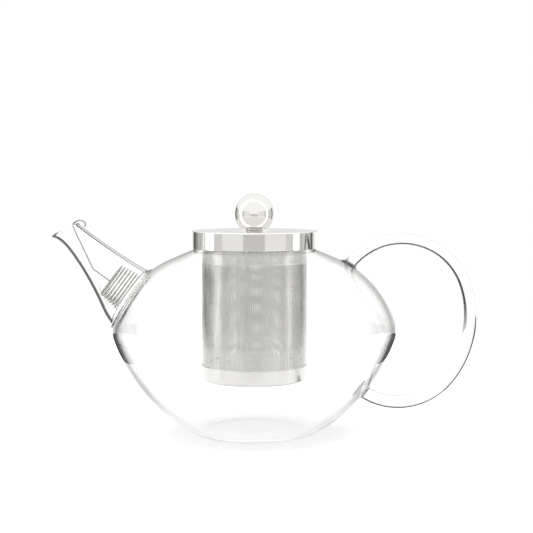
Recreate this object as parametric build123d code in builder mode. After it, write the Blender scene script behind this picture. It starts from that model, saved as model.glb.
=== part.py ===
from build123d import *

import os
from math import cos, radians, sin

# Glass teapot for about 1.2 litres. The glass vessel carries a fused spout and a fused rod handle.
# A perforated steel infuser hangs in the neck by its flange, a steel lid with a ball knob covers
# both, and a coiled wire strainer sits in the root of the spout, held by a hook over its lip.
#
# Millimetres, +Z up. The origin is the centre of the flat foot. +X runs to the handle, -X to the
# spout. The object is mirror-symmetric about the plane Y = 0, except for the strainer's windings.

# ---------------------------------------------------------------- driving dimensions

# Vessel
GLASS = 2.0  # wall thickness of the blown glass
FOOT_RADIUS = 27.5
FLANK_ARCS = ((19.8, 31.5), (95.4, 39.3), (17.8, 38.7), (57.5, 47.6))  # radius, turn; foot to shoulder
NECK_RADIUS = 33.4
NECK_FILLET = 2.0
RIM_Z = 112.8
NECK_JOIN_Z = 104.2
RIM_ROUNDING = 0.7

# Spout: x and z of the centre, climb of the axis in degrees, outer radius
SPOUT_SECTIONS = (
    (-60.0, 69.0, 36.0, 19.6),
    (-69.6, 77.2, 41.0, 17.8),
    (-75.9, 84.3, 46.0, 14.9),
    (-85.8, 95.5, 48.0, 10.9),
    (-96.4, 106.5, 45.0, 7.9),
    (-103.8, 113.4, 39.0, 7.0),
    (-109.6, 117.6, 34.0, 7.8),
)
SPOUT_WALL = 1.5
MOUTH_LOW_POINT = (-111.6, 110.9)  # x and z of the pouring edge
MOUTH_TILT = 27.0  # rise of the mouth's plane towards the pot, in degrees

# Handle: a round glass rod on a flat path of tangent arcs
HANDLE_ROD_RADIUS = 3.5
HANDLE_START = (51.6, 92.9)
HANDLE_HEADING = 55.7
HANDLE_ARCS = ((37.5, 125.3), (54.9, 61.4), (35.6, 88.0))  # radius, turn; top to bottom

# Strainer: one wire that runs as a hook, a straight leader, a flat spiral and a flared coil
WIRE_RADIUS = 0.4
HOOK_POINTS = (  # x and z of the corners, from the hook's tip to the leader's lower end
    (-94.6, 115.9),
    (-94.3, 118.9),
    (-97.9, 119.9),
    (-101.6, 118.0),
    (-100.6, 114.6),
    (-90.3, 92.4),
)
HOOK_BEND = 1.1
COIL_START = (-80.2, 85.6)  # x and z of the centre of the spiral
COIL_DIP = 36.0  # slope of the coil's axis down into the pot, in degrees
SPIRAL_STEP = 0.95  # growth of the spiral's radius with each half turn
SPIRAL_HALF_TURNS = 11
COIL_PITCH = 1.9
COIL_TURNS = 7.0
COIL_FLARE = 8.0  # half of the coil's cone angle, in degrees

# Infuser
SCREEN_RADIUS = 29.3
SCREEN_WALL = 0.3
SLEEVE_RADIUS = 28.95
SLEEVE_WALL = 0.45
SLEEVE_BOTTOM_Z = 100.0
FLANGE_RADIUS = 33.3
FLANGE_THICKNESS = 0.6
FLANGE_BEND = 0.5
BASE_RADIUS = 29.8
BASE_WALL = 0.4
BASE_BOTTOM_Z = 30.6
BASE_TOP_Z = 39.3
BASE_ROUNDING = 1.4

# Lid
LID_RADIUS = 35.2
LID_BOTTOM_Z = 104.3
LID_SKIRT_WALL = 0.5
LID_PLATE = 0.8
LID_ROUNDING = 0.7
COLLAR_RADIUS = 5.0
COLLAR_HEIGHT = 1.5
COLLAR_WAIST = 0.4
BALL_RADIUS = 11.1
BALL_DROP = 7.7  # from the ball's centre to its flat
SCREW_RADIUS = 1.95  # M4
SCREW_ENGAGEMENT = 7.0
SCREW_HEAD_RADIUS = 3.5
SCREW_HEAD_HEIGHT = 2.0
SCREW_SOCKET = 2.5  # across the flats of the hexagon
WASHER_RADIUS = 4.6
WASHER_THICKNESS = 0.5
HOLE_CLEARANCE = 0.1
THREAD_CLEARANCE = 0.05

# ---------------------------------------------------------------- derived places

FLANGE_TOP_Z = RIM_Z + FLANGE_THICKNESS
LID_TOP_Z = FLANGE_TOP_Z + LID_PLATE
BALL_FLAT_Z = LID_TOP_Z + COLLAR_HEIGHT
BALL_CENTRE_Z = BALL_FLAT_Z + BALL_DROP
WASHER_BOTTOM_Z = FLANGE_TOP_Z - WASHER_THICKNESS
SCREEN_BOTTOM_Z = BASE_BOTTOM_Z + BASE_ROUNDING  # just above the rounded corner of the base


def save(part, name):
    """Labels a finished sub-part and writes it as its own STEP file."""
    part.label = name
    export_step(part, f"parts/{name}.step")


def vessel_outline(inset):
    """Draws half of the vessel's section from the axis round to the axis, moved inwards by inset."""
    edge = Line((0, inset), (FOOT_RADIUS, inset))
    for radius, turn in FLANK_ARCS:
        edge = JernArc(edge @ 1, edge % 1, radius - inset, turn)
    heading = sum(turn for _, turn in FLANK_ARCS)
    sine, cosine = sin(radians(heading)), cos(radians(heading))
    shoulder_end = NECK_RADIUS + NECK_FILLET * (1 - sine) - inset * sine
    shoulder = PolarLine(edge @ 1, ((edge @ 1).X - shoulder_end) / -cosine, direction=edge % 1)
    fillet = JernArc(shoulder @ 1, shoulder % 1, NECK_FILLET + inset, 90 - heading)
    neck = Line(fillet @ 1, ((fillet @ 1).X, RIM_Z))
    Polyline(neck @ 1, (0, RIM_Z), (0, inset))


def revolved_vessel(inset):
    """The vessel's outer form as one filled solid, moved inwards by inset."""
    with BuildPart() as form:
        with BuildSketch(Plane.XZ):
            with BuildLine():
                vessel_outline(inset)
            make_face()
        revolve(axis=Axis.Z)
    return form.part


def spout_plane(x, z, climb):
    """The plane across the spout at one of its sections, facing the mouth."""
    direction = (-cos(radians(climb)), 0, sin(radians(climb)))
    return Plane(origin=(x, 0, z), x_dir=(0, 1, 0), z_dir=direction)


def lofted_spout(inset):
    """The spout's outer form as one filled solid, moved inwards by inset."""
    with BuildPart() as form:
        for x, z, climb, radius in SPOUT_SECTIONS:
            with BuildSketch(spout_plane(x, z, climb)):
                Circle(radius - inset)
        loft()
    return form.part


vessel_form = revolved_vessel(0)
vessel_hollow = revolved_vessel(GLASS)
spout_form = lofted_spout(0)
spout_bore = lofted_spout(SPOUT_WALL)

os.makedirs("parts", exist_ok=True)

# ---------------------------------------------------------------- glass_body, glass_neck

with BuildPart() as vessel_shell:
    add(vessel_form)
    add(vessel_hollow, mode=Mode.SUBTRACT)
    rim_edges = vessel_shell.edges().filter_by(GeomType.CIRCLE).group_by(Axis.Z)[-1]
    fillet(rim_edges, RIM_ROUNDING)
    add(spout_bore, mode=Mode.SUBTRACT)

# The neck is a ring of its own, fused to the body just under the lid's lower edge
neck_join = Plane.XY.offset(NECK_JOIN_Z)
with BuildPart() as glass_body:
    add(vessel_shell.part)
    split(bisect_by=neck_join, keep=Keep.BOTTOM)
save(glass_body.part, "glass_body")

with BuildPart() as glass_neck:
    add(vessel_shell.part)
    split(bisect_by=neck_join, keep=Keep.TOP)
save(glass_neck.part, "glass_neck")

# ---------------------------------------------------------------- spout

mouth_x, mouth_z = MOUTH_LOW_POINT
mouth_normal = (-sin(radians(MOUTH_TILT)), 0, cos(radians(MOUTH_TILT)))
mouth_plane = Plane(origin=(mouth_x, 0, mouth_z), x_dir=(0, 1, 0), z_dir=mouth_normal)

with BuildPart() as spout:
    add(spout_form)
    add(spout_bore, mode=Mode.SUBTRACT)
    split(bisect_by=mouth_plane, keep=Keep.BOTTOM)
    add(vessel_form, mode=Mode.SUBTRACT)
save(spout.part, "spout")

# ---------------------------------------------------------------- handle

with BuildPart() as handle:
    with BuildLine(Plane.XZ) as handle_path:
        heading = radians(HANDLE_HEADING)
        start, tangent = HANDLE_START, (cos(heading), sin(heading))
        for radius, turn in HANDLE_ARCS:
            arc = JernArc(start, tangent, radius, -turn)
            start, tangent = arc @ 1, arc % 1
    with BuildSketch(Plane(origin=handle_path.line @ 0, z_dir=handle_path.line % 0)):
        Circle(HANDLE_ROD_RADIUS)
    sweep()
    add(vessel_form, mode=Mode.SUBTRACT)
save(handle.part, "handle")

# ---------------------------------------------------------------- spout_strainer


def start_plane(path):
    """The plane across the start of a path."""
    return Plane(origin=path.line @ 0, z_dir=path.line % 0)


dip = radians(COIL_DIP)
coil_axis = Vector(cos(dip), 0, -sin(dip))
spiral_plane = Plane(origin=(COIL_START[0], 0, COIL_START[1]), x_dir=(0, 1, 0), z_dir=coil_axis)
leader_corner = spiral_plane.from_local_coords((-1.5 * HOOK_BEND, 0, 0))

with BuildPart() as spout_strainer:
    with BuildLine() as hanger_path:
        corners = [(x, 0, z) for x, z in HOOK_POINTS] + [leader_corner, spiral_plane.origin]
        FilletPolyline(*corners, radius=HOOK_BEND)
    with BuildSketch(start_plane(hanger_path)):
        Circle(WIRE_RADIUS)
    sweep()
    with BuildLine(spiral_plane) as spiral_path:
        point, tangent = (0, 0), (1, 0)
        for half_turn in range(SPIRAL_HALF_TURNS):
            arc = JernArc(point, tangent, SPIRAL_STEP * (half_turn + 0.5), 180)
            point, tangent = arc @ 1, arc % 1
    with BuildSketch(start_plane(spiral_path)):
        Circle(WIRE_RADIUS)
    sweep()
    coil_radius = SPIRAL_STEP * (SPIRAL_HALF_TURNS - 0.5)
    coil_centre = spiral_path.line @ 1 - spiral_plane.y_dir * coil_radius
    with BuildLine() as coil_path:
        Helix(
            COIL_PITCH,
            COIL_PITCH * COIL_TURNS,
            coil_radius,
            coil_centre,
            coil_axis,
            cone_angle=COIL_FLARE,
        )
    with BuildSketch(start_plane(coil_path)):
        Circle(WIRE_RADIUS)
    sweep(is_frenet=True)
save(spout_strainer.part, "spout_strainer")

# ---------------------------------------------------------------- infuser_rim

with BuildPart() as infuser_rim:
    with BuildSketch(Plane.XZ) as rim_section:
        with BuildLine():
            Polyline(
                (SLEEVE_RADIUS - SLEEVE_WALL, SLEEVE_BOTTOM_Z),
                (SLEEVE_RADIUS, SLEEVE_BOTTOM_Z),
                (SLEEVE_RADIUS, RIM_Z),
                (FLANGE_RADIUS, RIM_Z),
                (FLANGE_RADIUS, FLANGE_TOP_Z),
                (SLEEVE_RADIUS - SLEEVE_WALL, FLANGE_TOP_Z),
                close=True,
            )
        make_face()
        inner_corner = rim_section.vertices().group_by(Axis.X)[0].sort_by(Axis.Y)[-1]
        fillet(inner_corner, FLANGE_BEND)
    revolve(axis=Axis.Z)
save(infuser_rim.part, "infuser_rim")

# ---------------------------------------------------------------- infuser_screen

with BuildPart() as infuser_screen:
    with BuildSketch(Plane.XY.offset(SCREEN_BOTTOM_Z)):
        Circle(SCREEN_RADIUS)
        Circle(SCREEN_RADIUS - SCREEN_WALL, mode=Mode.SUBTRACT)
    extrude(amount=RIM_Z - SCREEN_BOTTOM_Z)
save(infuser_screen.part, "infuser_screen")

# ---------------------------------------------------------------- infuser_base

with BuildPart() as infuser_base:
    with BuildSketch(Plane.XY.offset(BASE_BOTTOM_Z)):
        Circle(BASE_RADIUS)
    extrude(amount=BASE_TOP_Z - BASE_BOTTOM_Z)
    fillet(infuser_base.edges().group_by(Axis.Z)[0], BASE_ROUNDING)
    offset(amount=-BASE_WALL, openings=infuser_base.faces().sort_by(Axis.Z)[-1])
save(infuser_base.part, "infuser_base")

# ---------------------------------------------------------------- lid_cap

with BuildPart() as lid_cap:
    with BuildSketch(Plane.XY.offset(LID_BOTTOM_Z)):
        Circle(LID_RADIUS)
    extrude(amount=LID_TOP_Z - LID_BOTTOM_Z)
    fillet(lid_cap.edges().group_by(Axis.Z)[-1], LID_ROUNDING)
    with BuildSketch(Plane.XY.offset(LID_BOTTOM_Z)):
        Circle(LID_RADIUS - LID_SKIRT_WALL)
    extrude(amount=FLANGE_TOP_Z - LID_BOTTOM_Z, mode=Mode.SUBTRACT)
    with Locations((0, 0, LID_TOP_Z)):
        Hole(SCREW_RADIUS + HOLE_CLEARANCE)
save(lid_cap.part, "lid_cap")

# ---------------------------------------------------------------- knob_collar

with BuildPart() as knob_collar:
    with BuildSketch(Plane.XZ):
        with BuildLine():
            foot = Line((SCREW_RADIUS + HOLE_CLEARANCE, LID_TOP_Z), (COLLAR_RADIUS, LID_TOP_Z))
            waist = ThreePointArc(
                foot @ 1,
                (COLLAR_RADIUS - COLLAR_WAIST, LID_TOP_Z + COLLAR_HEIGHT / 2),
                (COLLAR_RADIUS, BALL_FLAT_Z),
            )
            Polyline(waist @ 1, (SCREW_RADIUS + HOLE_CLEARANCE, BALL_FLAT_Z), foot @ 0)
        make_face()
    revolve(axis=Axis.Z)
save(knob_collar.part, "knob_collar")

# ---------------------------------------------------------------- knob_ball

with BuildPart() as knob_ball:
    with Locations((0, 0, BALL_CENTRE_Z)):
        Sphere(BALL_RADIUS)
    split(bisect_by=Plane.XY.offset(BALL_FLAT_Z), keep=Keep.TOP)
    with Locations(Plane(origin=(0, 0, BALL_FLAT_Z), z_dir=(0, 0, -1))):
        Hole(SCREW_RADIUS + THREAD_CLEARANCE, depth=SCREW_ENGAGEMENT + 1)
save(knob_ball.part, "knob_ball")

# ---------------------------------------------------------------- knob_washer

with BuildPart() as knob_washer:
    with BuildSketch(Plane.XY.offset(WASHER_BOTTOM_Z)):
        Circle(WASHER_RADIUS)
        Circle(SCREW_RADIUS + HOLE_CLEARANCE, mode=Mode.SUBTRACT)
    extrude(amount=WASHER_THICKNESS)
save(knob_washer.part, "knob_washer")

# ---------------------------------------------------------------- knob_screw

with BuildPart() as knob_screw:
    with BuildSketch(Plane.XY.offset(WASHER_BOTTOM_Z)):
        Circle(SCREW_HEAD_RADIUS)
    extrude(amount=-SCREW_HEAD_HEIGHT)
    fillet(knob_screw.edges().group_by(Axis.Z)[0], SCREW_HEAD_HEIGHT / 3)
    with BuildSketch(Plane.XY.offset(WASHER_BOTTOM_Z)):
        Circle(SCREW_RADIUS)
    extrude(amount=BALL_FLAT_Z + SCREW_ENGAGEMENT - WASHER_BOTTOM_Z)
    with BuildSketch(Plane.XY.offset(WASHER_BOTTOM_Z - SCREW_HEAD_HEIGHT)):
        RegularPolygon(SCREW_SOCKET / 2, 6, major_radius=False)
    extrude(amount=SCREW_HEAD_HEIGHT / 2, mode=Mode.SUBTRACT)
save(knob_screw.part, "knob_screw")
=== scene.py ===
from math import asin, ceil, cos, degrees, hypot, pi, radians, sin, sqrt

import bmesh
import bpy
import numpy as np
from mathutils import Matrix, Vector


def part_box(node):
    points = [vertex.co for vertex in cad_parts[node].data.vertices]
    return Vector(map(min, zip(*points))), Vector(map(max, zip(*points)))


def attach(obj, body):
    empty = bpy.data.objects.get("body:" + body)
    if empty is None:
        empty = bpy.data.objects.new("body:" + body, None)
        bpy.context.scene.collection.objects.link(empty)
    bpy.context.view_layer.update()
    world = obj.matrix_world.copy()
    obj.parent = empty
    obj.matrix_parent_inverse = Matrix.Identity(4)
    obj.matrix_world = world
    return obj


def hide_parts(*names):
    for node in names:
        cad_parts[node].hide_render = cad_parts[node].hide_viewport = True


# Looks of the glass teapot. Metres throughout, but for the lists that say mm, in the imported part's
# frame: the origin is the centre of the foot, +X runs to the handle, -X to the spout, +Z up, and
# the camera looks along +Y.

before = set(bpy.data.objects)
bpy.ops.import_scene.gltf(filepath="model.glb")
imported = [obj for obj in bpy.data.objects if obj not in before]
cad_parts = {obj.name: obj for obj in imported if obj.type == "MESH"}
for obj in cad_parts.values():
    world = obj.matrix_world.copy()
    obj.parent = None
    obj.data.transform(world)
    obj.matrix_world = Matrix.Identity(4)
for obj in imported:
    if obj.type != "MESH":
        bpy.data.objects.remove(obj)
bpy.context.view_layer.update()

MM = 0.001
ROUND = 224  # points round the large turned pieces

# ---------------------------------------------------------------- dimensions

# Vessel: the outline from the foot to the neck as tangent arcs, (radius, turn in degrees)
GLASS = 2.0 * MM
FOOT_RADIUS = 27.5 * MM
FLANK_ARCS = ((19.8 * MM, 31.5), (95.4 * MM, 39.3), (17.8 * MM, 38.7), (57.5 * MM, 47.6))
NECK_RADIUS = 33.4 * MM
NECK_FILLET = 2.0 * MM
RIM_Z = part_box("glass_neck")[1][2]

# Spout: x and z of the centre in mm, climb of the axis in degrees, outer radius in mm
SPOUT_SECTIONS = (
    (-60.0, 69.0, 36.0, 19.6),
    (-69.6, 77.2, 41.0, 17.8),
    (-75.9, 84.3, 46.0, 14.9),
    (-85.8, 95.5, 48.0, 10.9),
    (-96.4, 106.5, 45.0, 7.9),
    (-103.8, 113.4, 39.0, 7.0),
    (-109.6, 117.6, 34.0, 7.8),
)
SPOUT_WALL = 1.5 * MM
SPOUT_FILLET = 2.2 * MM
BORE_FILLET = 1.0 * MM
LIP_BEAD = 0.35 * MM
LIP_SHARE = 0.035  # of the spout's length, swelling toward the lip
MOUTH_LOW_POINT = (-111.6 * MM, 110.9 * MM)
MOUTH_TILT = 27.0

# The spout and the handle end a little inside the wall that they are fused to
WELD_SINK = 0.3 * MM
FILLET_ROUND = 0.96  # of a full round, which would thin out to nothing at the wall

# Handle: a rod on tangent arcs, (radius, turn in degrees), from the shoulder to the lower flank.
# ROD_RADII are (share of the length, radius in mm).
HANDLE_START = (51.6 * MM, 92.9 * MM)
HANDLE_HEADING = 55.7
HANDLE_ARCS = ((37.5 * MM, 125.3), (54.9 * MM, 61.4), (35.6 * MM, 88.0))
ROD_RADII = ((0.0, 3.3), (0.12, 3.0), (0.3, 2.95), (0.5, 3.5), (0.7, 3.85), (0.88, 3.8), (1.0, 3.7))
ROD_FILLET = 2.6 * MM
RIPPLE = 0.16 * MM  # faint rings round the welds, from turning the rod in the flame
RIPPLE_PITCH = 2.3 * MM
RIPPLE_REACH = 8 * MM

# Strainer: one wire, a hook over the lip, a leader, a flat spiral and a flared coil. The hook's
# points are (x, z) in mm.
WIRE_RADIUS = 0.4 * MM
HOOK_POINTS = (
    (-94.6, 115.9),
    (-94.3, 118.9),
    (-97.9, 119.9),
    (-101.6, 118.0),
    (-100.6, 114.6),
    (-90.3, 92.4),
)
HOOK_BEND = 1.7 * MM
COIL_START = (-80.2 * MM, 85.6 * MM)
COIL_DIP = 36.0
SPIRAL_STEP = 0.95 * MM
SPIRAL_HALF_TURNS = 11
COIL_PITCH = 1.9 * MM
COIL_TURNS = 7.0
COIL_FLARE = 8.0
COIL_SIDES = 40  # points to a turn

# Infuser
SCREEN_WALL = 0.3 * MM
SCREEN_PITCH = 1.15 * MM
HOLE_SHARE = 0.42  # of the pitch, across one square hole
HOLE_MARGIN = 0.5 * MM  # the rows of holes run on this far beside the base and the sleeve
LAP_ANGLE = pi * 0.6  # the plain strip where the foil is lapped and welded
LAP_HALF_WIDTH = 0.05  # radians
SLEEVE_WALL = 0.45 * MM

# Lid
LID_WALL = 0.5 * MM
LID_PLATE = 0.8 * MM
LID_BEND = 0.8 * MM
SCREW_HOLE = 2.05 * MM

# ---------------------------------------------------------------- mesh helpers


def new_piece(name, mesh):
    """A smooth-shaded object for a mesh, linked to the scene."""
    mesh.name = name
    mesh.validate()
    for polygon in mesh.polygons:
        polygon.use_smooth = True
    piece = bpy.data.objects.new(name, mesh)
    bpy.context.scene.collection.objects.link(piece)
    return piece


def mesh_from(name, points, faces):
    """A piece from points and faces, with its normals facing out."""
    mesh = bpy.data.meshes.new(name)
    mesh.from_pydata([tuple(p) for p in points], [], faces)
    work = bmesh.new()
    work.from_mesh(mesh)
    bmesh.ops.recalc_face_normals(work, faces=work.faces)
    work.to_mesh(mesh)
    work.free()
    return new_piece(name, mesh)


def braced(profile, reach=0.12 * MM):
    """The profile with a point just inside both ends of each straight that lies between two finer
    bends, so that smooth shading keeps it flat."""
    ends = profile[1:] + profile[:1]
    steps = [hypot(b[0] - a[0], b[1] - a[1]) for a, b in zip(profile, ends)]
    out = []
    for k, (start, end) in enumerate(zip(profile, ends)):
        out.append(start)
        beside = max(steps[k - 1], steps[(k + 1) % len(steps)])
        if steps[k] > 4 * max(beside, 2 * reach):
            for part in (reach / steps[k], 1 - reach / steps[k]):
                out.append(tuple(p + (q - p) * part for p, q in zip(start, end)))
    return out


def lathe(name, profile, around=ROUND):
    """A closed solid of revolution about Z. The profile is a loop of (radius, z), which may touch
    the axis, and is joined from its last point to its first."""
    profile = braced(profile)
    points, rings = [], []
    for radius, z in profile:
        if radius < 1e-9:
            rings.append([len(points)])
            points.append((0, 0, z))
        else:
            rings.append(list(range(len(points), len(points) + around)))
            angles = [2 * pi * k / around for k in range(around)]
            points += [(radius * cos(a), radius * sin(a), z) for a in angles]
    faces = []
    for lower, upper in zip(rings, rings[1:] + rings[:1]):
        if len(lower) == len(upper) == 1:
            continue
        for k in range(around):
            low = (lower[k % len(lower)], lower[(k + 1) % len(lower)])
            high = (upper[(k + 1) % len(upper)], upper[k % len(upper)])
            faces.append(tuple(dict.fromkeys(low + high)))
    return mesh_from(name, points, faces)


def arc_chain(start, heading, arcs, step=2.0):
    """Points and left-hand normals along tangent arcs, (radius, turn in degrees); a negative turn
    goes clockwise."""
    x, z = start
    angle = radians(heading)
    points, normals = [(x, z)], [(-sin(angle), cos(angle))]
    for radius, turn in arcs:
        side = 1 if turn > 0 else -1
        cx, cz = x - side * radius * sin(angle), z + side * radius * cos(angle)
        count = ceil(abs(turn) / step)
        for k in range(1, count + 1):
            a = angle + radians(turn) * k / count
            points.append((cx + side * radius * sin(a), cz - side * radius * cos(a)))
            normals.append((-sin(a), cos(a)))
        angle += radians(turn)
        x, z = points[-1]
    return points, normals


def rounded_corner(centre, radius, first, last, count=5):
    """Points on an arc of a profile, from one angle to another in degrees."""
    angles = [radians(first + (last - first) * k / count) for k in range(count + 1)]
    return [(centre[0] + radius * cos(a), centre[1] + radius * sin(a)) for a in angles]


def ring_mesh(name, rings, closed_ends):
    """A tube-like piece from rings of equal length. closed_ends caps it; otherwise the last ring
    joins the first."""
    count = len(rings[0])
    points = [p for ring in rings for p in ring]
    faces = []
    last = len(rings) - (1 if closed_ends else 0)
    for i in range(last):
        a, b = i * count, ((i + 1) % len(rings)) * count
        for k in range(count):
            n = (k + 1) % count
            faces.append((a + k, a + n, b + n, b + k))
    if closed_ends:
        for ring, index in ((rings[0], 0), (rings[-1], (len(rings) - 1) * count)):
            centre = sum((Vector(p) for p in ring), Vector()) / count
            points.append(tuple(centre))
            faces += [(index + k, index + (k + 1) % count, len(points) - 1) for k in range(count)]
    return mesh_from(name, points, faces)


def wire(name, path, radius, sides=12):
    """A round wire along a list of points, turned as little as possible from point to point."""
    path = [Vector(p) for p in path]
    tangents = [
        (path[min(i + 1, len(path) - 1)] - path[max(i - 1, 0)]).normalized()
        for i in range(len(path))
    ]
    normal = tangents[0].orthogonal().normalized()
    rings = []
    for point, tangent in zip(path, tangents):
        normal = (normal - tangent * normal.dot(tangent)).normalized()
        across = tangent.cross(normal)
        angles = [2 * pi * k / sides for k in range(sides)]
        rings.append([point + (normal * cos(a) + across * sin(a)) * radius for a in angles])
    return ring_mesh(name, rings, closed_ends=True)


def spline(values, count):
    """Evenly spaced samples of the natural cubic through rows of values, by row number."""
    rows = np.array(values, float)
    n = len(rows)
    a = np.eye(n)
    b = np.zeros_like(rows)
    for i in range(1, n - 1):
        a[i, i - 1 : i + 2] = (1, 4, 1)
        b[i] = 6 * (rows[i + 1] - 2 * rows[i] + rows[i - 1])
    bend = np.linalg.solve(a, b)
    samples = []
    for t in np.linspace(0, n - 1, count):
        i = min(int(t), n - 2)
        u = t - i
        v = 1 - u
        samples.append(
            v * rows[i]
            + u * rows[i + 1]
            + ((v**3 - v) * bend[i] + (u**3 - u) * bend[i + 1]) / 6
        )
    return np.array(samples)


# ---------------------------------------------------------------- glass vessel


def vessel_outline():
    """Points and inward normals of the outer surface, from the foot's edge to the rim."""
    heading = sum(turn for _, turn in FLANK_ARCS)
    points, normals = arc_chain((FOOT_RADIUS, 0), 0, FLANK_ARCS)
    fillet_start = NECK_RADIUS + NECK_FILLET * (1 - sin(radians(heading)))
    run = (points[-1][0] - fillet_start) / -cos(radians(heading))
    x = points[-1][0] + run * cos(radians(heading))
    z = points[-1][1] + run * sin(radians(heading))
    neck, neck_normals = arc_chain((x, z), heading, ((NECK_FILLET, 90 - heading),), step=8)
    return points + neck, normals + neck_normals


OUTLINE, OUTLINE_NORMALS = vessel_outline()


def above_vessel(point):
    """Signed distance of a point from the vessel's outer surface, negative inside the glass."""
    r, z = hypot(point[0], point[1]), point[2]
    best, signed = 1.0, 1.0
    for (r0, z0), (r1, z1) in zip(OUTLINE, OUTLINE[1:]):
        dr, dz = r1 - r0, z1 - z0
        t = min(1, max(0, ((r - r0) * dr + (z - z0) * dz) / (dr * dr + dz * dz)))
        gap = hypot(r - r0 - t * dr, z - z0 - t * dz)
        if gap < best:
            best = gap
            signed = gap if (r - r0) * dz - (z - z0) * dr > 0 else -gap
    return signed


def crossing(distance_at, low, high, steps=26):
    """The parameter between low, where distance_at is negative, and high where it reaches 0."""
    for _ in range(steps):
        middle = (low + high) / 2
        low, high = (middle, high) if distance_at(middle) < 0 else (low, middle)
    return (low + high) / 2


def fillet_push(distance, size):
    """How far a weld's round fillet stands off the tube at a distance above the vessel."""
    if distance >= size:
        return 0.0
    rest = size - max(distance, 0)
    return size - sqrt(size * size - rest * rest * FILLET_ROUND)


def make_vessel():
    """The vessel's wall: up the outer face, over the polished rim and down the inside."""
    outer = [(0, 0)] + OUTLINE + [(NECK_RADIUS, RIM_Z - GLASS / 2)]
    inner = [
        (r + nr * GLASS, z + nz * GLASS) for (r, z), (nr, nz) in zip(OUTLINE, OUTLINE_NORMALS)
    ]
    rim = rounded_corner((NECK_RADIUS - GLASS / 2, RIM_Z - GLASS / 2), GLASS / 2, 0, 180, 12)
    profile = outer + rim[1:] + inner[::-1] + [(0, GLASS)]
    return lathe("vessel_glass", profile, around=288)


# ---------------------------------------------------------------- spout

SPOUT_SPINE = spline(SPOUT_SECTIONS, 400)


def spout_point(t, angle, inset=0.0):
    """A point of the spout's surface, t from 0 at the root to 1 beyond the mouth."""
    place = t * (len(SPOUT_SPINE) - 1)
    i = min(int(place), len(SPOUT_SPINE) - 2)
    x, z, climb, radius = SPOUT_SPINE[i] + (SPOUT_SPINE[i + 1] - SPOUT_SPINE[i]) * (place - i)
    radius = radius * MM - inset
    climb = radians(climb)
    out = Vector((sin(climb), 0, cos(climb)))
    around = Vector((0, 1, 0)) * cos(angle) + out * sin(angle)
    return Vector((x * MM, 0, z * MM)) + around * radius


def mouth_distance(point):
    """How far a point lies past the plane of the spout's mouth."""
    tilt = radians(MOUTH_TILT)
    return (point[2] - MOUTH_LOW_POINT[1]) * cos(tilt) - (point[0] - MOUTH_LOW_POINT[0]) * sin(tilt)


def make_spout():
    """The spout's wall: out along the outer face, round the lip and back along the bore."""
    sides, along, lip_steps = 96, 70, 8
    bore_depth = GLASS + 0.15 * MM  # the bore runs this deep, just through the vessel's wall
    outer, bore, ends = [], [], []
    for k in range(sides):
        angle = 2 * pi * k / sides
        tip = crossing(lambda t: mouth_distance(spout_point(t, angle)), 0.3, 1.0)
        root = crossing(lambda t: above_vessel(spout_point(t, angle)) + WELD_SINK, 0.0, 0.6)
        inner_root = crossing(
            lambda t: above_vessel(spout_point(t, angle, SPOUT_WALL)) + bore_depth, 0.0, 0.6
        )
        out_line, bore_line = [], []
        for i in range(along + 1):
            share = (i / along) ** 1.25  # closer together at the weld
            t = root + (tip - root) * share
            height = above_vessel(spout_point(t, angle))
            bead = LIP_BEAD * max(0, 1 - (tip - t) / LIP_SHARE) ** 2
            out_line.append(spout_point(t, angle, -fillet_push(height, SPOUT_FILLET) - bead))
            t = inner_root + (tip - inner_root) * share
            depth = -above_vessel(spout_point(t, angle, SPOUT_WALL))
            push = fillet_push(GLASS - depth + 0.1 * MM, BORE_FILLET) if depth > 0 else 0
            bore_line.append(spout_point(t, angle, SPOUT_WALL - push))
        before_tip = spout_point(tip - 0.02, angle)
        forward = (spout_point(tip, angle) - before_tip).normalized()
        outer.append(out_line)
        bore.append(bore_line)
        ends.append(forward)
    rings = [[line[i] for line in outer] for i in range(along + 1)]
    for j in range(1, lip_steps):
        turn = pi * j / lip_steps
        ring = []
        for out_line, bore_line, forward in zip(outer, bore, ends):
            middle = (out_line[-1] + bore_line[-1]) / 2
            half = (out_line[-1] - bore_line[-1]) / 2
            ring.append(middle + half * cos(turn) + forward * half.length * sin(turn))
        rings.append(ring)
    rings += [[line[i] for line in bore] for i in range(along, -1, -1)]
    return ring_mesh("spout_glass", rings, closed_ends=False)


def cut_spout_hole(vessel):
    """Opens the vessel's wall where the spout is fused to it."""
    sides, along = 96, 8
    first, last = 0.02, 0.47  # the stretch of the spout that passes through the wall
    inset = SPOUT_WALL / 2
    rings = []
    for i in range(along + 1):
        t = first + (last - first) * i / along
        rings.append([spout_point(t, 2 * pi * k / sides, inset) for k in range(sides)])
    cutter = ring_mesh("hole_cutter", rings, closed_ends=True)
    cut = vessel.modifiers.new("spout_hole", "BOOLEAN")
    cut.operation = "DIFFERENCE"
    cut.solver = "EXACT"
    cut.object = cutter
    depsgraph = bpy.context.evaluated_depsgraph_get()
    mesh = bpy.data.meshes.new_from_object(vessel.evaluated_get(depsgraph))
    vessel.modifiers.clear()
    vessel.data = mesh
    bpy.data.objects.remove(cutter)
    mesh.shade_smooth()
    mesh.set_sharp_from_angle(angle=radians(40))


# ---------------------------------------------------------------- handle


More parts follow.
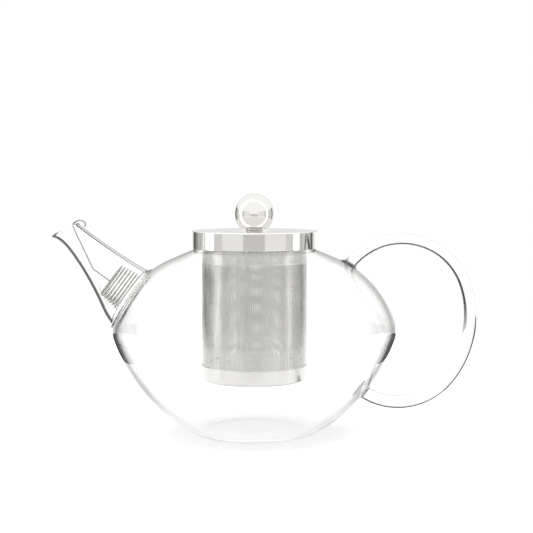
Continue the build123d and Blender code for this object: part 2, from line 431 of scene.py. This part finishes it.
def make_handle():
    """The rod, with its flared, slightly ringed welds sunk into the vessel's wall."""
    sides, along = 40, 170
    arcs = [(radius, -turn) for radius, turn in HANDLE_ARCS]
    points, normals = arc_chain(HANDLE_START, HANDLE_HEADING, arcs, step=1.0)
    lengths = [0.0]
    for (x0, z0), (x1, z1) in zip(points, points[1:]):
        lengths.append(lengths[-1] + hypot(x1 - x0, z1 - z0))
    total = lengths[-1]
    shares = [share for share, _ in ROD_RADII]
    radii = [radius * MM for _, radius in ROD_RADII]

    def rod_point(s, angle, push=0.0):
        x = np.interp(s * total, lengths, [p[0] for p in points])
        z = np.interp(s * total, lengths, [p[1] for p in points])
        nx = np.interp(s * total, lengths, [n[0] for n in normals])
        nz = np.interp(s * total, lengths, [n[1] for n in normals])
        radius = np.interp(s, shares, radii) + push
        around = Vector((0, 1, 0)) * cos(angle) + Vector((nx, 0, nz)) * sin(angle)
        return Vector((x, 0, z)) + around * radius

    def weld(height, strength):
        ripple = strength * RIPPLE * cos(2 * pi * height / RIPPLE_PITCH)
        return fillet_push(height, ROD_FILLET) + ripple * max(0, 1 - height / RIPPLE_REACH)

    lines = []
    for k in range(sides):
        angle = 2 * pi * k / sides
        start = crossing(lambda s: above_vessel(rod_point(s, angle)) + WELD_SINK, 0.0, 0.2)
        end = 1 - crossing(lambda s: above_vessel(rod_point(1 - s, angle)) + WELD_SINK, 0.0, 0.2)
        line = []
        for i in range(along + 1):
            # closer together at the welds
            share = 0.6 * (1 - cos(pi * i / along)) / 2 + 0.4 * i / along
            s = start + (end - start) * share
            height = above_vessel(rod_point(s, angle))
            strength = 1.0 if s < 0.5 else 0.5  # the rings are fainter at the lower weld
            line.append(rod_point(s, angle, weld(height, strength)))
        lines.append(line)
    rings = [[line[i] for line in lines] for i in range(along + 1)]
    return ring_mesh("handle_rod", rings, closed_ends=True)


# ---------------------------------------------------------------- strainer


def bent(corners, radius, count=8):
    """Straight runs joined by arcs of one radius."""
    corners = [Vector(c) for c in corners]
    path = [corners[0]]
    for before, corner, after in zip(corners, corners[1:], corners[2:]):
        back, on = (before - corner).normalized(), (after - corner).normalized()
        half = back.angle(on) / 2
        reach = radius / (sin(half) / cos(half))
        centre = corner + (back + on).normalized() * (radius / sin(half))
        first, last = corner + back * reach - centre, corner + on * reach - centre
        for k in range(count + 1):
            path.append(centre + first.slerp(last, k / count, first).normalized() * radius)
    return path + [corners[-1]]


def make_strainer():
    """The wire from its hook over the lip, down the leader, round the spiral and the coil."""
    dip = radians(COIL_DIP)
    axis = Vector((cos(dip), 0, -sin(dip)))
    across, up = Vector((0, 1, 0)), Vector((sin(dip), 0, cos(dip)))
    centre = Vector((COIL_START[0], 0, COIL_START[1]))
    corners = [(x * MM, 0, z * MM) for x, z in HOOK_POINTS]
    corners += [centre - across * 1.5 * HOOK_BEND, centre]
    path = bent(corners, HOOK_BEND)
    flat, _ = arc_chain(
        (0, 0), 0, [(SPIRAL_STEP * (k + 0.5), 180) for k in range(SPIRAL_HALF_TURNS)], step=12
    )
    path += [centre + across * x + up * y for x, y in flat[1:]]
    radius = SPIRAL_STEP * (SPIRAL_HALF_TURNS - 0.5)
    coil_centre = path[-1] - up * radius
    steps = int(COIL_TURNS * COIL_SIDES)
    growth = COIL_PITCH * sin(radians(COIL_FLARE)) / cos(radians(COIL_FLARE))
    for k in range(1, steps + 1):
        turns = k / COIL_SIDES
        angle = 2 * pi * turns + pi / 2
        r = radius + growth * turns
        around = across * cos(angle) + up * sin(angle)
        path.append(coil_centre + axis * COIL_PITCH * turns + around * r)
    return wire("strainer_wire", path, WIRE_RADIUS)


# ---------------------------------------------------------------- infuser


def make_screen():
    """The screen's foil with a real square hole in every cell, plain margins at both ends and a
    plain strip along its lap weld at the back."""
    low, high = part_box("infuser_screen")
    outer, bottom, top = high[0], low[2], high[2]
    inner = outer - SCREEN_WALL
    columns = round(2 * pi * outer / SCREEN_PITCH)
    holes_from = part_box("infuser_base")[1][2] - HOLE_MARGIN
    holes_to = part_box("infuser_rim")[0][2] + HOLE_MARGIN
    rows = int((holes_to - holes_from) / SCREEN_PITCH)
    levels = [bottom]
    for row in range(rows):
        z = holes_from + row * SCREEN_PITCH
        levels += [z, z + HOLE_SHARE * SCREEN_PITCH]
    levels.append(top)
    angles = []
    for column in range(columns):
        angle = 2 * pi * column / columns
        angles += [angle, angle + HOLE_SHARE * 2 * pi / columns]
    count = len(angles)
    points = []
    for radius in (outer, inner):
        for z in levels:
            points += [(radius * cos(a), radius * sin(a), z) for a in angles]
    skin = len(levels) * count
    lap = {k for k in range(columns) if abs(angles[2 * k] - LAP_ANGLE) < LAP_HALF_WIDTH}

    def is_hole(level, k):
        return level % 2 == 1 and level < len(levels) - 1 and k % 2 == 0 and k // 2 not in lap

    faces = []
    for level in range(len(levels) - 1):
        for k in range(count):
            n = (k + 1) % count
            a, b = level * count + k, level * count + n
            c, d = b + count, a + count
            if not is_hole(level, k):
                faces += [(a, b, c, d), (skin + d, skin + c, skin + b, skin + a)]
            else:
                faces += [
                    (b, a, skin + a, skin + b),
                    (c, b, skin + b, skin + c),
                    (d, c, skin + c, skin + d),
                    (a, d, skin + d, skin + a),
                ]
    end = (len(levels) - 1) * count
    for k in range(count):
        n = (k + 1) % count
        faces.append((n, k, skin + k, skin + n))
        faces.append((end + k, end + n, skin + end + n, skin + end + k))
    mesh = bpy.data.meshes.new("screen")
    mesh.from_pydata(points, [], faces)
    piece = new_piece("screen_foil", mesh)
    mesh.set_sharp_from_angle(angle=radians(40))
    return piece


def make_infuser_rim():
    """Flange with a rolled edge, a rounded throat and the sleeve inside the screen."""
    low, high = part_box("infuser_rim")
    edge = high[0]
    top, bottom = high[2], low[2]
    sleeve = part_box("infuser_screen")[1][0] - SCREEN_WALL - 0.05 * MM
    bore = sleeve - SLEEVE_WALL
    roll, throat = 0.3 * MM, 0.8 * MM
    profile = [(bore, bottom), (sleeve, bottom), (sleeve, RIM_Z), (edge - roll, RIM_Z)]
    profile += rounded_corner((edge - roll, RIM_Z + roll), roll, -90, 90, 8)
    profile += rounded_corner((bore + throat, top - throat), throat, 90, 180, 6)
    return lathe("infuser_flange", profile)


def make_infuser_base():
    """Pressed cup: rounded at the floor and along its top edge."""
    low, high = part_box("infuser_base")
    outer, bottom, top = high[0], low[2], high[2]
    bend = 1.4 * MM
    wall = 0.4 * MM
    inner_bend = bend - wall
    profile = [(0, bottom), (outer * 0.5, bottom)]
    profile += rounded_corner((outer - bend, bottom + bend), bend, -90, 0, 8)
    profile += rounded_corner((outer - wall / 2, top - wall / 2), wall / 2, 0, 180, 6)
    profile += rounded_corner((outer - bend, bottom + bend), inner_bend, 0, -90, 6)
    profile += [(outer * 0.5, bottom + wall), (0, bottom + wall)]
    return lathe("infuser_cup", profile)


# ---------------------------------------------------------------- lid


def make_lid():
    """Pressed cap: a rounded top edge, a skirt with an eased lip, and the screw's hole."""
    low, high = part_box("lid_cap")
    outer, bottom, top = high[0], low[2], high[2]
    inner, under = outer - LID_WALL, top - LID_PLATE
    lip, hollow = 0.2 * MM, 0.5 * MM
    profile = [(SCREW_HOLE, top)]
    profile += [(outer * share, top) for share in (0.25, 0.5, 0.75, 0.9)]
    profile += rounded_corner((outer - LID_BEND, top - LID_BEND), LID_BEND, 90, 0, 8)
    profile += rounded_corner((outer - lip, bottom + lip), lip, 0, -90, 4)
    profile += rounded_corner((inner + lip, bottom + lip), lip, -90, -180, 4)
    profile += rounded_corner((inner - hollow, under - hollow), hollow, 0, 90, 4)
    profile += [(SCREW_HOLE, under)]
    return lathe("lid_shell", profile)


def make_knob():
    """The ball, polished, with a flat foot and a blind screw hole; and its waisted collar."""
    low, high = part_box("knob_ball")
    radius, flat = high[0], low[2]
    centre = high[2] - radius
    foot = degrees(asin((flat - centre) / radius))
    hole, depth = 2.0 * MM, 8.0 * MM
    profile = rounded_corner((0, centre), radius, 90, foot, 72)
    profile[0] = (0, centre + radius)
    profile += [(hole, flat), (hole, flat + depth), (0, flat + depth)]
    ball = lathe("ball_knob", profile, around=128)
    low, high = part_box("knob_collar")
    radius, bottom, top = high[0], low[2], high[2]
    waist = 0.4 * MM
    side = [
        (radius - waist * sin(pi * k / 10), bottom + (top - bottom) * k / 10) for k in range(11)
    ]
    collar = lathe("collar_ring", side + [(SCREW_HOLE, top), (SCREW_HOLE, bottom)], around=96)
    return ball, collar


# ---------------------------------------------------------------- materials


class Nodes:
    """Adds nodes to the tree of a material or the world."""

    def __init__(self, tree):
        self.tree = tree

    def feed(self, socket, value):
        """Gives a socket a value, or links it to another node's output."""
        if isinstance(value, bpy.types.NodeSocket):
            self.tree.links.new(value, socket)
        else:
            socket.default_value = value

    def add(self, kind, **values):
        """A node, each value going to the input or the setting that has its name."""
        node = self.tree.nodes.new(kind)
        for name, value in values.items():
            if name in node.inputs:
                self.feed(node.inputs[name], value)
            else:
                setattr(node, name, value)
        return node

    def math(self, operation, *values):
        node = self.add("ShaderNodeMath", operation=operation)
        for socket, value in zip(node.inputs, values):
            self.feed(socket, value)
        return node.outputs[0]

    def ramp(self, value, start, end, low=0.0, high=1.0):
        """Low where the value is at start and high where it is at end, held beyond them."""
        node = self.add("ShaderNodeMapRange")
        names = ("Value", "From Min", "From Max", "To Min", "To Max")
        for name, level in zip(names, (value, start, end, low, high)):
            self.feed(node.inputs[name], level)
        return node.outputs["Result"]

    def blend(self, factor, a, b, kind="FLOAT"):
        """From a where the factor is 0 to b where it is 1."""
        node = self.add("ShaderNodeMix", data_type=kind)
        for name, value in (("Factor", factor), ("A", a), ("B", b)):
            self.feed(node.inputs[name], value)
        return node.outputs["Result"]


GLASS_IOR = 1.47
GLASS_TINT = (0.86, 0.9, 0.88, 1)
NOISE_SPREAD = (0.3, 0.7)  # where most of a noise's values lie


def new_material(name):
    """A material, its nodes and its Principled shader."""
    material = bpy.data.materials.new(name)
    material.use_nodes = True
    tree = material.node_tree
    return material, Nodes(tree), tree.nodes["Principled BSDF"]


def noise(nodes, scale, detail=3.0, stretch=(1, 1, 1)):
    """A noise over the object's own space."""
    place = nodes.add("ShaderNodeTexCoord")
    mapping = nodes.add("ShaderNodeMapping", Vector=place.outputs["Object"], Scale=stretch)
    field = mapping.outputs["Vector"]
    return nodes.add("ShaderNodeTexNoise", Vector=field, Scale=scale, Detail=detail).outputs["Fac"]


def add_bump(nodes, shader, height, strength, distance):
    bump = nodes.add("ShaderNodeBump", Height=height, Strength=strength, Distance=distance)
    nodes.feed(shader.inputs["Normal"], bump.outputs["Normal"])


def glass_material(name, absorption, edge_shade_stops):
    """Clear glass: faint striae in its surface, painted shade that greys its colour where it is seen
    edge-on, a trace of grey in its depth. The painted shade's stops are (facing, brightness)."""
    material, nodes, shader = new_material(name)
    shader.inputs["Base Color"].default_value = (1, 1, 1, 1)
    shader.inputs["Transmission Weight"].default_value = 1.0
    shader.inputs["IOR"].default_value = GLASS_IOR
    shader.inputs["Roughness"].default_value = 0.0
    # painted shade: the glass's colour darkens toward grazing views, standing in for the dark
    # surroundings that edge-on glass bends light from
    edge = nodes.add("ShaderNodeLayerWeight", Blend=0.5)
    edge_shade = nodes.add("ShaderNodeValToRGB", Fac=edge.outputs["Facing"])
    for stop, (facing, level) in zip(edge_shade.color_ramp.elements, (edge_shade_stops[0], edge_shade_stops[-1])):
        stop.position, stop.color = facing, (level, level, level, 1)
    for facing, level in edge_shade_stops[1:-1]:
        edge_shade.color_ramp.elements.new(facing).color = (level, level, level, 1)
    nodes.feed(shader.inputs["Base Color"], edge_shade.outputs["Color"])
    striae = noise(nodes, 26.0, 1.0, (1, 1, 0.4))
    add_bump(nodes, shader, striae, 0.25, 0.6 * MM)
    depth = nodes.add("ShaderNodeVolumeAbsorption")
    depth.inputs["Color"].default_value = GLASS_TINT
    depth.inputs["Density"].default_value = absorption
    output = nodes.tree.nodes["Material Output"]
    nodes.feed(output.inputs["Volume"], depth.outputs["Volume"])
    return material


def steel_material(name, colour, low, high, grain=(1, 1, 1), scale=60.0, bump=0.0):
    """Stainless steel with an uneven polish, rough from low to high, and, where asked for, drawn
    grain."""
    material, nodes, shader = new_material(name)
    shader.inputs["Metallic"].default_value = 1.0
    shader.inputs["Base Color"].default_value = (*colour, 1)
    grains = noise(nodes, scale, 4.0, grain)
    nodes.feed(shader.inputs["Roughness"], nodes.ramp(grains, *NOISE_SPREAD, low, high))
    if bump:
        add_bump(nodes, shader, grains, bump, 0.1 * MM)
    return material


def rubber_material(name, colour):
    """Silicone: matt, with a fine grain."""
    material, nodes, shader = new_material(name)
    shader.inputs["Base Color"].default_value = (*colour, 1)
    grains = noise(nodes, 900.0)
    nodes.feed(shader.inputs["Roughness"], nodes.ramp(grains, *NOISE_SPREAD, 0.35, 0.55))
    add_bump(nodes, shader, grains, 0.2, 0.05 * MM)
    return material


# ---------------------------------------------------------------- assembly of the object


def dress(piece, material, body, slot, *nodes):
    """Gives a piece its material and its body, and hides the CAD nodes that it stands for. The slot
    is not used.
    """
    piece.data.materials.clear()
    piece.data.materials.append(material)
    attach(piece, body)
    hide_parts(*nodes)


def repaint(node, material):
    """A better material on a CAD node that keeps its own mesh."""
    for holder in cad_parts[node].material_slots:
        holder.material = material


# the pairs are each glass's painted edge shade, (facing, brightness); the rod's is darker so that it
# shows against the white
glass = glass_material("clear_glass", 6.0, ((0.72, 1.0), (0.97, 0.1)))
rod_glass = glass_material("rod_glass", 6.0, ((0.08, 0.97), (0.45, 0.8), (0.9, 0.25)))
polished = steel_material("polished_steel", (0.82, 0.81, 0.79), 0.03, 0.07)
pressed = steel_material("pressed_steel", (0.62, 0.615, 0.6), 0.16, 0.26, (1, 1, 0.1), 300.0, 0.15)
foil = steel_material("screen_steel", (0.6, 0.595, 0.575), 0.25, 0.32, (1, 1, 0.15), 400.0, 0.07)
drawn_wire = steel_material("wire_steel", (0.36, 0.355, 0.34), 0.12, 0.22, (1, 1, 1), 800.0)
turned = steel_material("screw_steel", (0.6, 0.6, 0.6), 0.25, 0.4, (1, 1, 1), 900.0, 0.2)
silicone = rubber_material("silicone", (0.8, 0.8, 0.79))

vessel = make_vessel()
cut_spout_hole(vessel)
ball, collar = make_knob()
dress(vessel, glass, "vessel", "vessel_glass", "glass_body", "glass_neck")
dress(make_spout(), glass, "vessel", "vessel_glass", "spout")
dress(make_handle(), rod_glass, "vessel", "vessel_glass", "handle")
dress(make_strainer(), drawn_wire, "vessel", "wire_steel", "spout_strainer")
dress(make_infuser_rim(), pressed, "infuser", "infuser_steel", "infuser_rim")
dress(make_screen(), foil, "infuser", "screen_steel", "infuser_screen")
dress(make_infuser_base(), pressed, "infuser", "infuser_steel", "infuser_base")
dress(make_lid(), polished, "lid", "polished_steel", "lid_cap")
dress(collar, polished, "lid", "polished_steel", "knob_collar")
dress(ball, polished, "lid", "polished_steel", "knob_ball")
repaint("knob_washer", silicone)
repaint("knob_screw", turned)

# ---------------------------------------------------------------- studio

# Table top, just under the foot so that the two faces don't coincide. It glows a little, most
# under the foot, so that only the pot's contact shadow shows.
FLOOR_X = (-300 * MM, 300 * MM)
FLOOR_Y = (-300 * MM, 400 * MM)
FLOOR_Z = -0.2 * MM
PAPER = (0.95, 0.95, 0.95, 1)
FLOOR_GLOW = 0.46
FOOT_GLOW = 0.78
FOOT_GLOW_RADII = (15 * MM, 45 * MM)  # where the glow under the foot starts and stops fading
UNLIT_PAPER = (0.1, 0.1, 0.1, 1)
UNLIT_GLOW = 0.06
UNLIT_RADII = (50 * MM, 90 * MM)  # where the table turns unlit to light guided by the glass

# Black cards on the table to the left and right
CARD_X = (125 * MM, 420 * MM)
CARD_Y = (-100 * MM, 400 * MM)
CARD_Z = 2 * MM

# Brightness of the studio by the angle from the camera in degrees, negative on the left
WALLS = (
    (-180, 1.15), (-156, 1.1), (-151, 0.95), (-146, 0.43), (-140, 0.05), (-135, 0.18), (-130, 0.3),
    (-122, 0.5), (-116, 0.63), (-111, 0.76), (-99, 0.8), (-97, 1.9), (-79, 1.9), (-77, 0.74),
    (-60, 0.76), (-58, 0.94), (-21, 0.94), (-18, 0.66), (18, 0.66), (21, 0.94), (58, 0.94),
    (60, 0.76), (75, 0.76), (77, 1.9), (86, 1.9), (91, 0.8), (94, 0.52), (99, 0.7), (115, 0.75),
    (121, 0.55), (126, 0.16), (131, 0.12), (135, 0.8), (141, 1.0), (150, 1.13), (180, 1.15),
)
WALLS_LIMIT = 2.5  # the curve node holds 0 to 1, for brightness from 0 to this

# The rest of what surfaces mirror. Pairs are where something starts and stops changing: heights
# are the sine of the angle above the horizon, and spreads are angles from the camera.
PANEL_ENDS = (0.2, 0.3)  # the walls' panels fade out above and below
FRONT_GAP = (radians(30), radians(25))  # round the camera they end at the horizon instead
PAST_PANELS = 1.12  # the least light beyond their ends
CEILING_START = (0.015, 0.04)
CEILING_SPREAD = (radians(140), radians(160))
CEILING_LIGHT = 0.8  # over the backdrop, in the lid's flat top
LIGHT_COLOUR = (1, 0.995, 0.985, 1)

# What shows through the glass: the backdrop, with a black flag to either side and a dim ceiling.
# Degrees from the camera, and heights as above.
BACKDROP_LIGHT = 1.1
FLAG_ANGLE = 130.0
FLAG_WIDTH = 30.0
FLAG_EDGE = 8.0
FLAG_LIGHT = 0.03
FLAG_BOTTOM = (-0.3, -0.05)  # the flags fade in above
DIM_CEILING = (0.35, 0.6)
DIM_LIGHT = 0.3
GUIDED_HEIGHTS = (0.4, -0.1)  # light turned back inside a glass wall is dark from high to low
GUIDED_LIGHT = 0.12
SHALLOW = 2.5  # such light crosses the glass's surface up to twice, and light off the steel more

CAMERA_LENS = 84.4
CAMERA_PLACE = (6.8 * MM, -698 * MM, 144.4 * MM)
CAMERA_DIP = 4.14  # degrees down


def table_sheet(name, xs, ys, z, material):
    """A flat rectangle of the set."""
    mesh = bpy.data.meshes.new(name)
    corners = [(xs[0], ys[0], z), (xs[1], ys[0], z), (xs[1], ys[1], z), (xs[0], ys[1], z)]
    mesh.from_pydata(corners, [], [(0, 1, 2, 3)])
    mesh.materials.append(material)
    sheet = bpy.data.objects.new(name, mesh)
    bpy.context.scene.collection.objects.link(sheet)
    return sheet


def light_path(nodes):
    """The path node; 1 for light that a surface has mirrored, else 0; and 1 only for such of it as
    was turned back inside a glass wall."""
    path = nodes.add("ShaderNodeLightPath")
    turned = nodes.math("MINIMUM", path.outputs["Glossy Depth"], 1.0)
    shallow = nodes.math("LESS_THAN", path.outputs["Transmission Depth"], SHALLOW)
    return path, turned, nodes.math("MULTIPLY", turned, shallow)


def make_floor():
    """A pale table that glows a little. Light that was turned back inside a glass wall finds it
    unlit away from the pot."""
    material, nodes, shader = new_material("floor_paper")
    shader.inputs["Roughness"].default_value = 1.0
    shader.inputs["Specular IOR Level"].default_value = 0.0
    shader.inputs["Emission Color"].default_value = (1, 1, 1, 1)
    place = nodes.add("ShaderNodeNewGeometry")
    away = nodes.add("ShaderNodeVectorMath", operation="LENGTH")
    nodes.feed(away.inputs[0], place.outputs["Position"])
    away = away.outputs["Value"]
    path, _, guided = light_path(nodes)
    guided = nodes.math("MULTIPLY", path.outputs["Is Transmission Ray"], guided)
    unlit = nodes.math("MULTIPLY", guided, nodes.ramp(away, *UNLIT_RADII))
    glow = nodes.ramp(away, *FOOT_GLOW_RADII, FOOT_GLOW, FLOOR_GLOW)
    nodes.feed(shader.inputs["Emission Strength"], nodes.ramp(unlit, 0, 1, glow, UNLIT_GLOW))
    nodes.feed(shader.inputs["Base Color"], nodes.blend(unlit, PAPER, UNLIT_PAPER, "RGBA"))
    floor = table_sheet("floor", FLOOR_X, FLOOR_Y, FLOOR_Z, material)


def make_cards():
    """Black cards that only reflections see, for dark edges on the lower glass."""
    material, _, shader = new_material("black_card")
    shader.inputs["Base Color"].default_value = (0.01, 0.01, 0.01, 1)
    shader.inputs["Roughness"].default_value = 1.0
    for name, side in (("card_left", -1), ("card_right", 1)):
        card = table_sheet(name, [side * x for x in CARD_X], CARD_Y, CARD_Z, material)
        for sense in ("camera", "diffuse", "shadow", "transmission", "volume_scatter"):
            setattr(card, "visible_" + sense, False)


def wall_light(nodes, x, y, z):
    """The brightness from WALLS, and the angle from the camera. Above the horizon the walls go by
    that angle, and below it by the compass."""
    ahead = nodes.math("MULTIPLY", y, -1.0)
    apart = nodes.math("ARCCOSINE", ahead)
    azimuth = nodes.math("ABSOLUTE", nodes.math("ARCTAN2", x, ahead))
    turn = nodes.blend(nodes.ramp(z, 0.0, 0.08), azimuth, apart)
    turn = nodes.math("MULTIPLY", turn, nodes.math("SIGN", x))
    walls = nodes.add("ShaderNodeFloatCurve")
    curve = walls.mapping.curves[0]
    stops = [((a + 180) / 360, value / WALLS_LIMIT) for a, value in WALLS]
    curve.points[0].location = stops[0]
    curve.points[1].location = stops[-1]
    for stop in stops[1:-1]:
        curve.points.new(*stop)
    for point in curve.points:
        point.handle_type = "VECTOR"
    walls.mapping.update()
    share = nodes.math("ADD", nodes.math("DIVIDE", turn, 2 * pi), 0.5)
    nodes.feed(walls.inputs["Value"], share)
    return nodes.math("MULTIPLY", walls.outputs[0], WALLS_LIMIT), apart


def make_world():
    """White to the camera; to the object, a pale studio with panels, strips and two dark flags."""
    world = bpy.data.worlds.new("studio")
    bpy.context.scene.world = world
    world.use_nodes = True
    world.node_tree.nodes.clear()
    nodes = Nodes(world.node_tree)
    place = nodes.add("ShaderNodeTexCoord")
    split = nodes.add("ShaderNodeSeparateXYZ")
    nodes.feed(split.inputs[0], place.outputs["Generated"])
    x, y, z = split.outputs
    panels, apart = wall_light(nodes, x, y, z)

    # the panels stand on the table and end a little above the pot
    front = nodes.math("MULTIPLY", nodes.ramp(z, -0.01, 0.01), nodes.ramp(apart, *FRONT_GAP))
    past = nodes.ramp(nodes.math("ABSOLUTE", z), *PANEL_ENDS)
    past = nodes.math("MAXIMUM", past, front)
    panels = nodes.blend(past, panels, nodes.math("MAXIMUM", panels, PAST_PANELS))
    ceiling = nodes.ramp(z, *CEILING_START)
    ceiling = nodes.math("MULTIPLY", ceiling, nodes.ramp(apart, *CEILING_SPREAD))
    mirrored = nodes.blend(ceiling, panels, CEILING_LIGHT)

    # what the glass bends toward: the white backdrop, black flags beside it, a dim ceiling
    off_axis = nodes.math("ABSOLUTE", nodes.math("SUBTRACT", apart, radians(FLAG_ANGLE)))
    edge = radians(FLAG_WIDTH / 2)
    beside = nodes.ramp(off_axis, edge, edge + radians(FLAG_EDGE), FLAG_LIGHT)
    flags = nodes.blend(nodes.ramp(z, *FLAG_BOTTOM), 1.0, beside)
    through = nodes.math("MULTIPLY", flags, nodes.ramp(z, *DIM_CEILING, 1.0, DIM_LIGHT))
    path, turned, guided = light_path(nodes)
    guided = nodes.math("MULTIPLY", guided, nodes.ramp(z, *GUIDED_HEIGHTS))
    through = nodes.math("MULTIPLY", through, nodes.ramp(guided, 0.0, 1.0, 1.0, GUIDED_LIGHT))
    through = nodes.math("MULTIPLY", through, BACKDROP_LIGHT)

    # steel seen through the glass mirrors the same panels as steel outside it
    deep = nodes.math("GREATER_THAN", path.outputs["Transmission Depth"], SHALLOW)
    clear = nodes.math("SUBTRACT", 1.0, nodes.math("MULTIPLY", turned, deep))
    clear = nodes.math("MULTIPLY", path.outputs["Is Transmission Ray"], clear)
    light = nodes.add("ShaderNodeBackground", Strength=nodes.blend(clear, mirrored, through))
    light.inputs["Color"].default_value = LIGHT_COLOUR
    plain = nodes.add("ShaderNodeBackground")
    plain.inputs["Color"].default_value = (1, 1, 1, 1)
    either = nodes.add("ShaderNodeMixShader", Fac=path.outputs["Is Camera Ray"])
    nodes.feed(either.inputs[1], light.outputs[0])
    nodes.feed(either.inputs[2], plain.outputs[0])
    nodes.add("ShaderNodeOutputWorld", Surface=either.outputs[0])


def make_camera():
    """A long lens, a little above the lid and tilted down, as a product photograph is taken."""
    data = bpy.data.cameras.new("camera")
    data.sensor_width = 36
    data.lens = CAMERA_LENS
    data.clip_start = 0.01
    camera = bpy.data.objects.new("camera", data)
    bpy.context.scene.collection.objects.link(camera)
    camera.location = CAMERA_PLACE
    camera.rotation_euler = (radians(90 - CAMERA_DIP), 0, 0)
    bpy.context.scene.camera = camera


make_floor()
make_cards()
make_world()
make_camera()
scene = bpy.context.scene
scene.view_settings.view_transform = "Standard"
scene.cycles.max_bounces = 24
scene.cycles.transmission_bounces = 24
scene.cycles.glossy_bounces = 12
